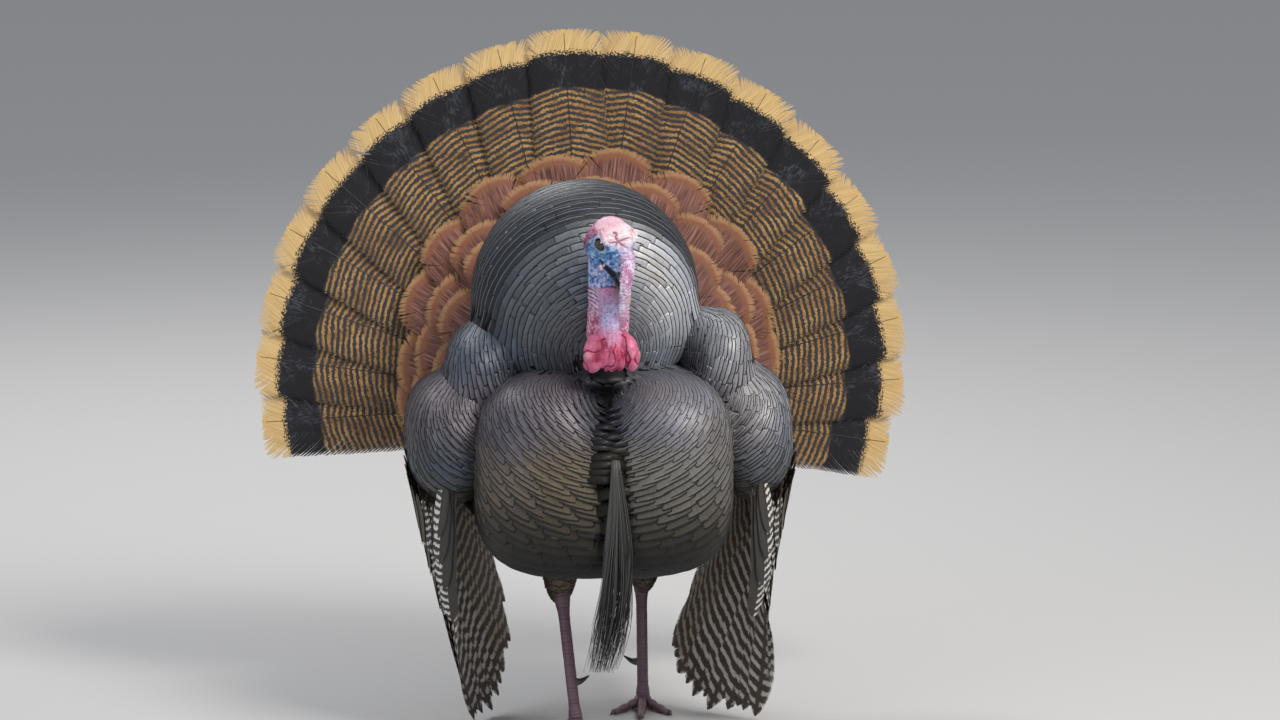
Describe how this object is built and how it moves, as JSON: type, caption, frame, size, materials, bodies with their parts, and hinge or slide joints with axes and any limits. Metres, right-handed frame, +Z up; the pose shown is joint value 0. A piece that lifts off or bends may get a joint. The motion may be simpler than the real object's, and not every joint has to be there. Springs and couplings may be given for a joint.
{
  "type": "wild turkey, museum model",
  "caption": "Life-size wild turkey tom standing in full display: tail fanned, wings drooped, breast puffed out and head drawn back.",
  "frame": {"origin": "middle of the bird's outer box, on the floor it stands on", "axes": "+Z up, the bird faces -Y, and its left side is towards +X"},
  "size_m": [0.7982, 0.4902, 0.8068],
  "materials": {
    "eye": "wet, very dark brown",
    "bill": "smooth horn, satin",
    "spur": "dark horn, satin",
    "head_skin": "bare wrinkled skin, white, blue and pink",
    "beard": "coarse black bristles",
    "leg_skin": "scaled skin, dull purplish pink",
    "tail_feathers": "barred chestnut and black vanes with a tan tip",
    "tail_coverts": "chestnut vanes with a pale fringe",
    "flight_feathers": "brown-black vanes barred with white",
    "body_feathers": "iridescent bronze, each vane edged with black"
  },
  "bodies": {
    "root": {"eye_right": "eye", "eye_left": "eye", "bill_upper": "bill", "bill_lower": "bill", "snood": "head_skin", "head": "head_skin", "caruncles": "head_skin", "neck": "head_skin", "beard": "beard", "breast_right": "body_feathers", "breast_left": "body_feathers", "shank_right": "leg_skin", "foot_right": "leg_skin", "spur_right": "spur", "thigh_right": "body_feathers", "shank_left": "leg_skin", "foot_left": "leg_skin", "spur_left": "spur", "thigh_left": "body_feathers", "scapulars_right": "body_feathers", "shoulder_right": "body_feathers", "scapulars_left": "body_feathers", "shoulder_left": "body_feathers", "alula_right": "flight_feathers", "primaries_right": "flight_feathers", "secondaries_right": "flight_feathers", "alula_left": "flight_feathers", "primaries_left": "flight_feathers", "secondaries_left": "flight_feathers", "mantle": "body_feathers", "trunk": "body_feathers", "vent": "body_feathers", "rectrix_01": "tail_feathers", "rectrix_02": "tail_feathers", "rectrix_03": "tail_feathers", "rectrix_04": "tail_feathers", "rectrix_05": "tail_feathers", "rectrix_06": "tail_feathers", "rectrix_07": "tail_feathers", "rectrix_08": "tail_feathers", "rectrix_09": "tail_feathers", "rectrix_10": "tail_feathers", "rectrix_11": "tail_feathers", "rectrix_12": "tail_feathers", "rectrix_13": "tail_feathers", "rectrix_14": "tail_feathers", "rectrix_15": "tail_feathers", "rectrix_16": "tail_feathers", "rectrix_17": "tail_feathers", "rectrix_18": "tail_feathers", "covert_row_outer": "tail_coverts", "covert_row_inner": "tail_coverts", "undertail_coverts": "tail_coverts"}
  },
  "joints": []
}
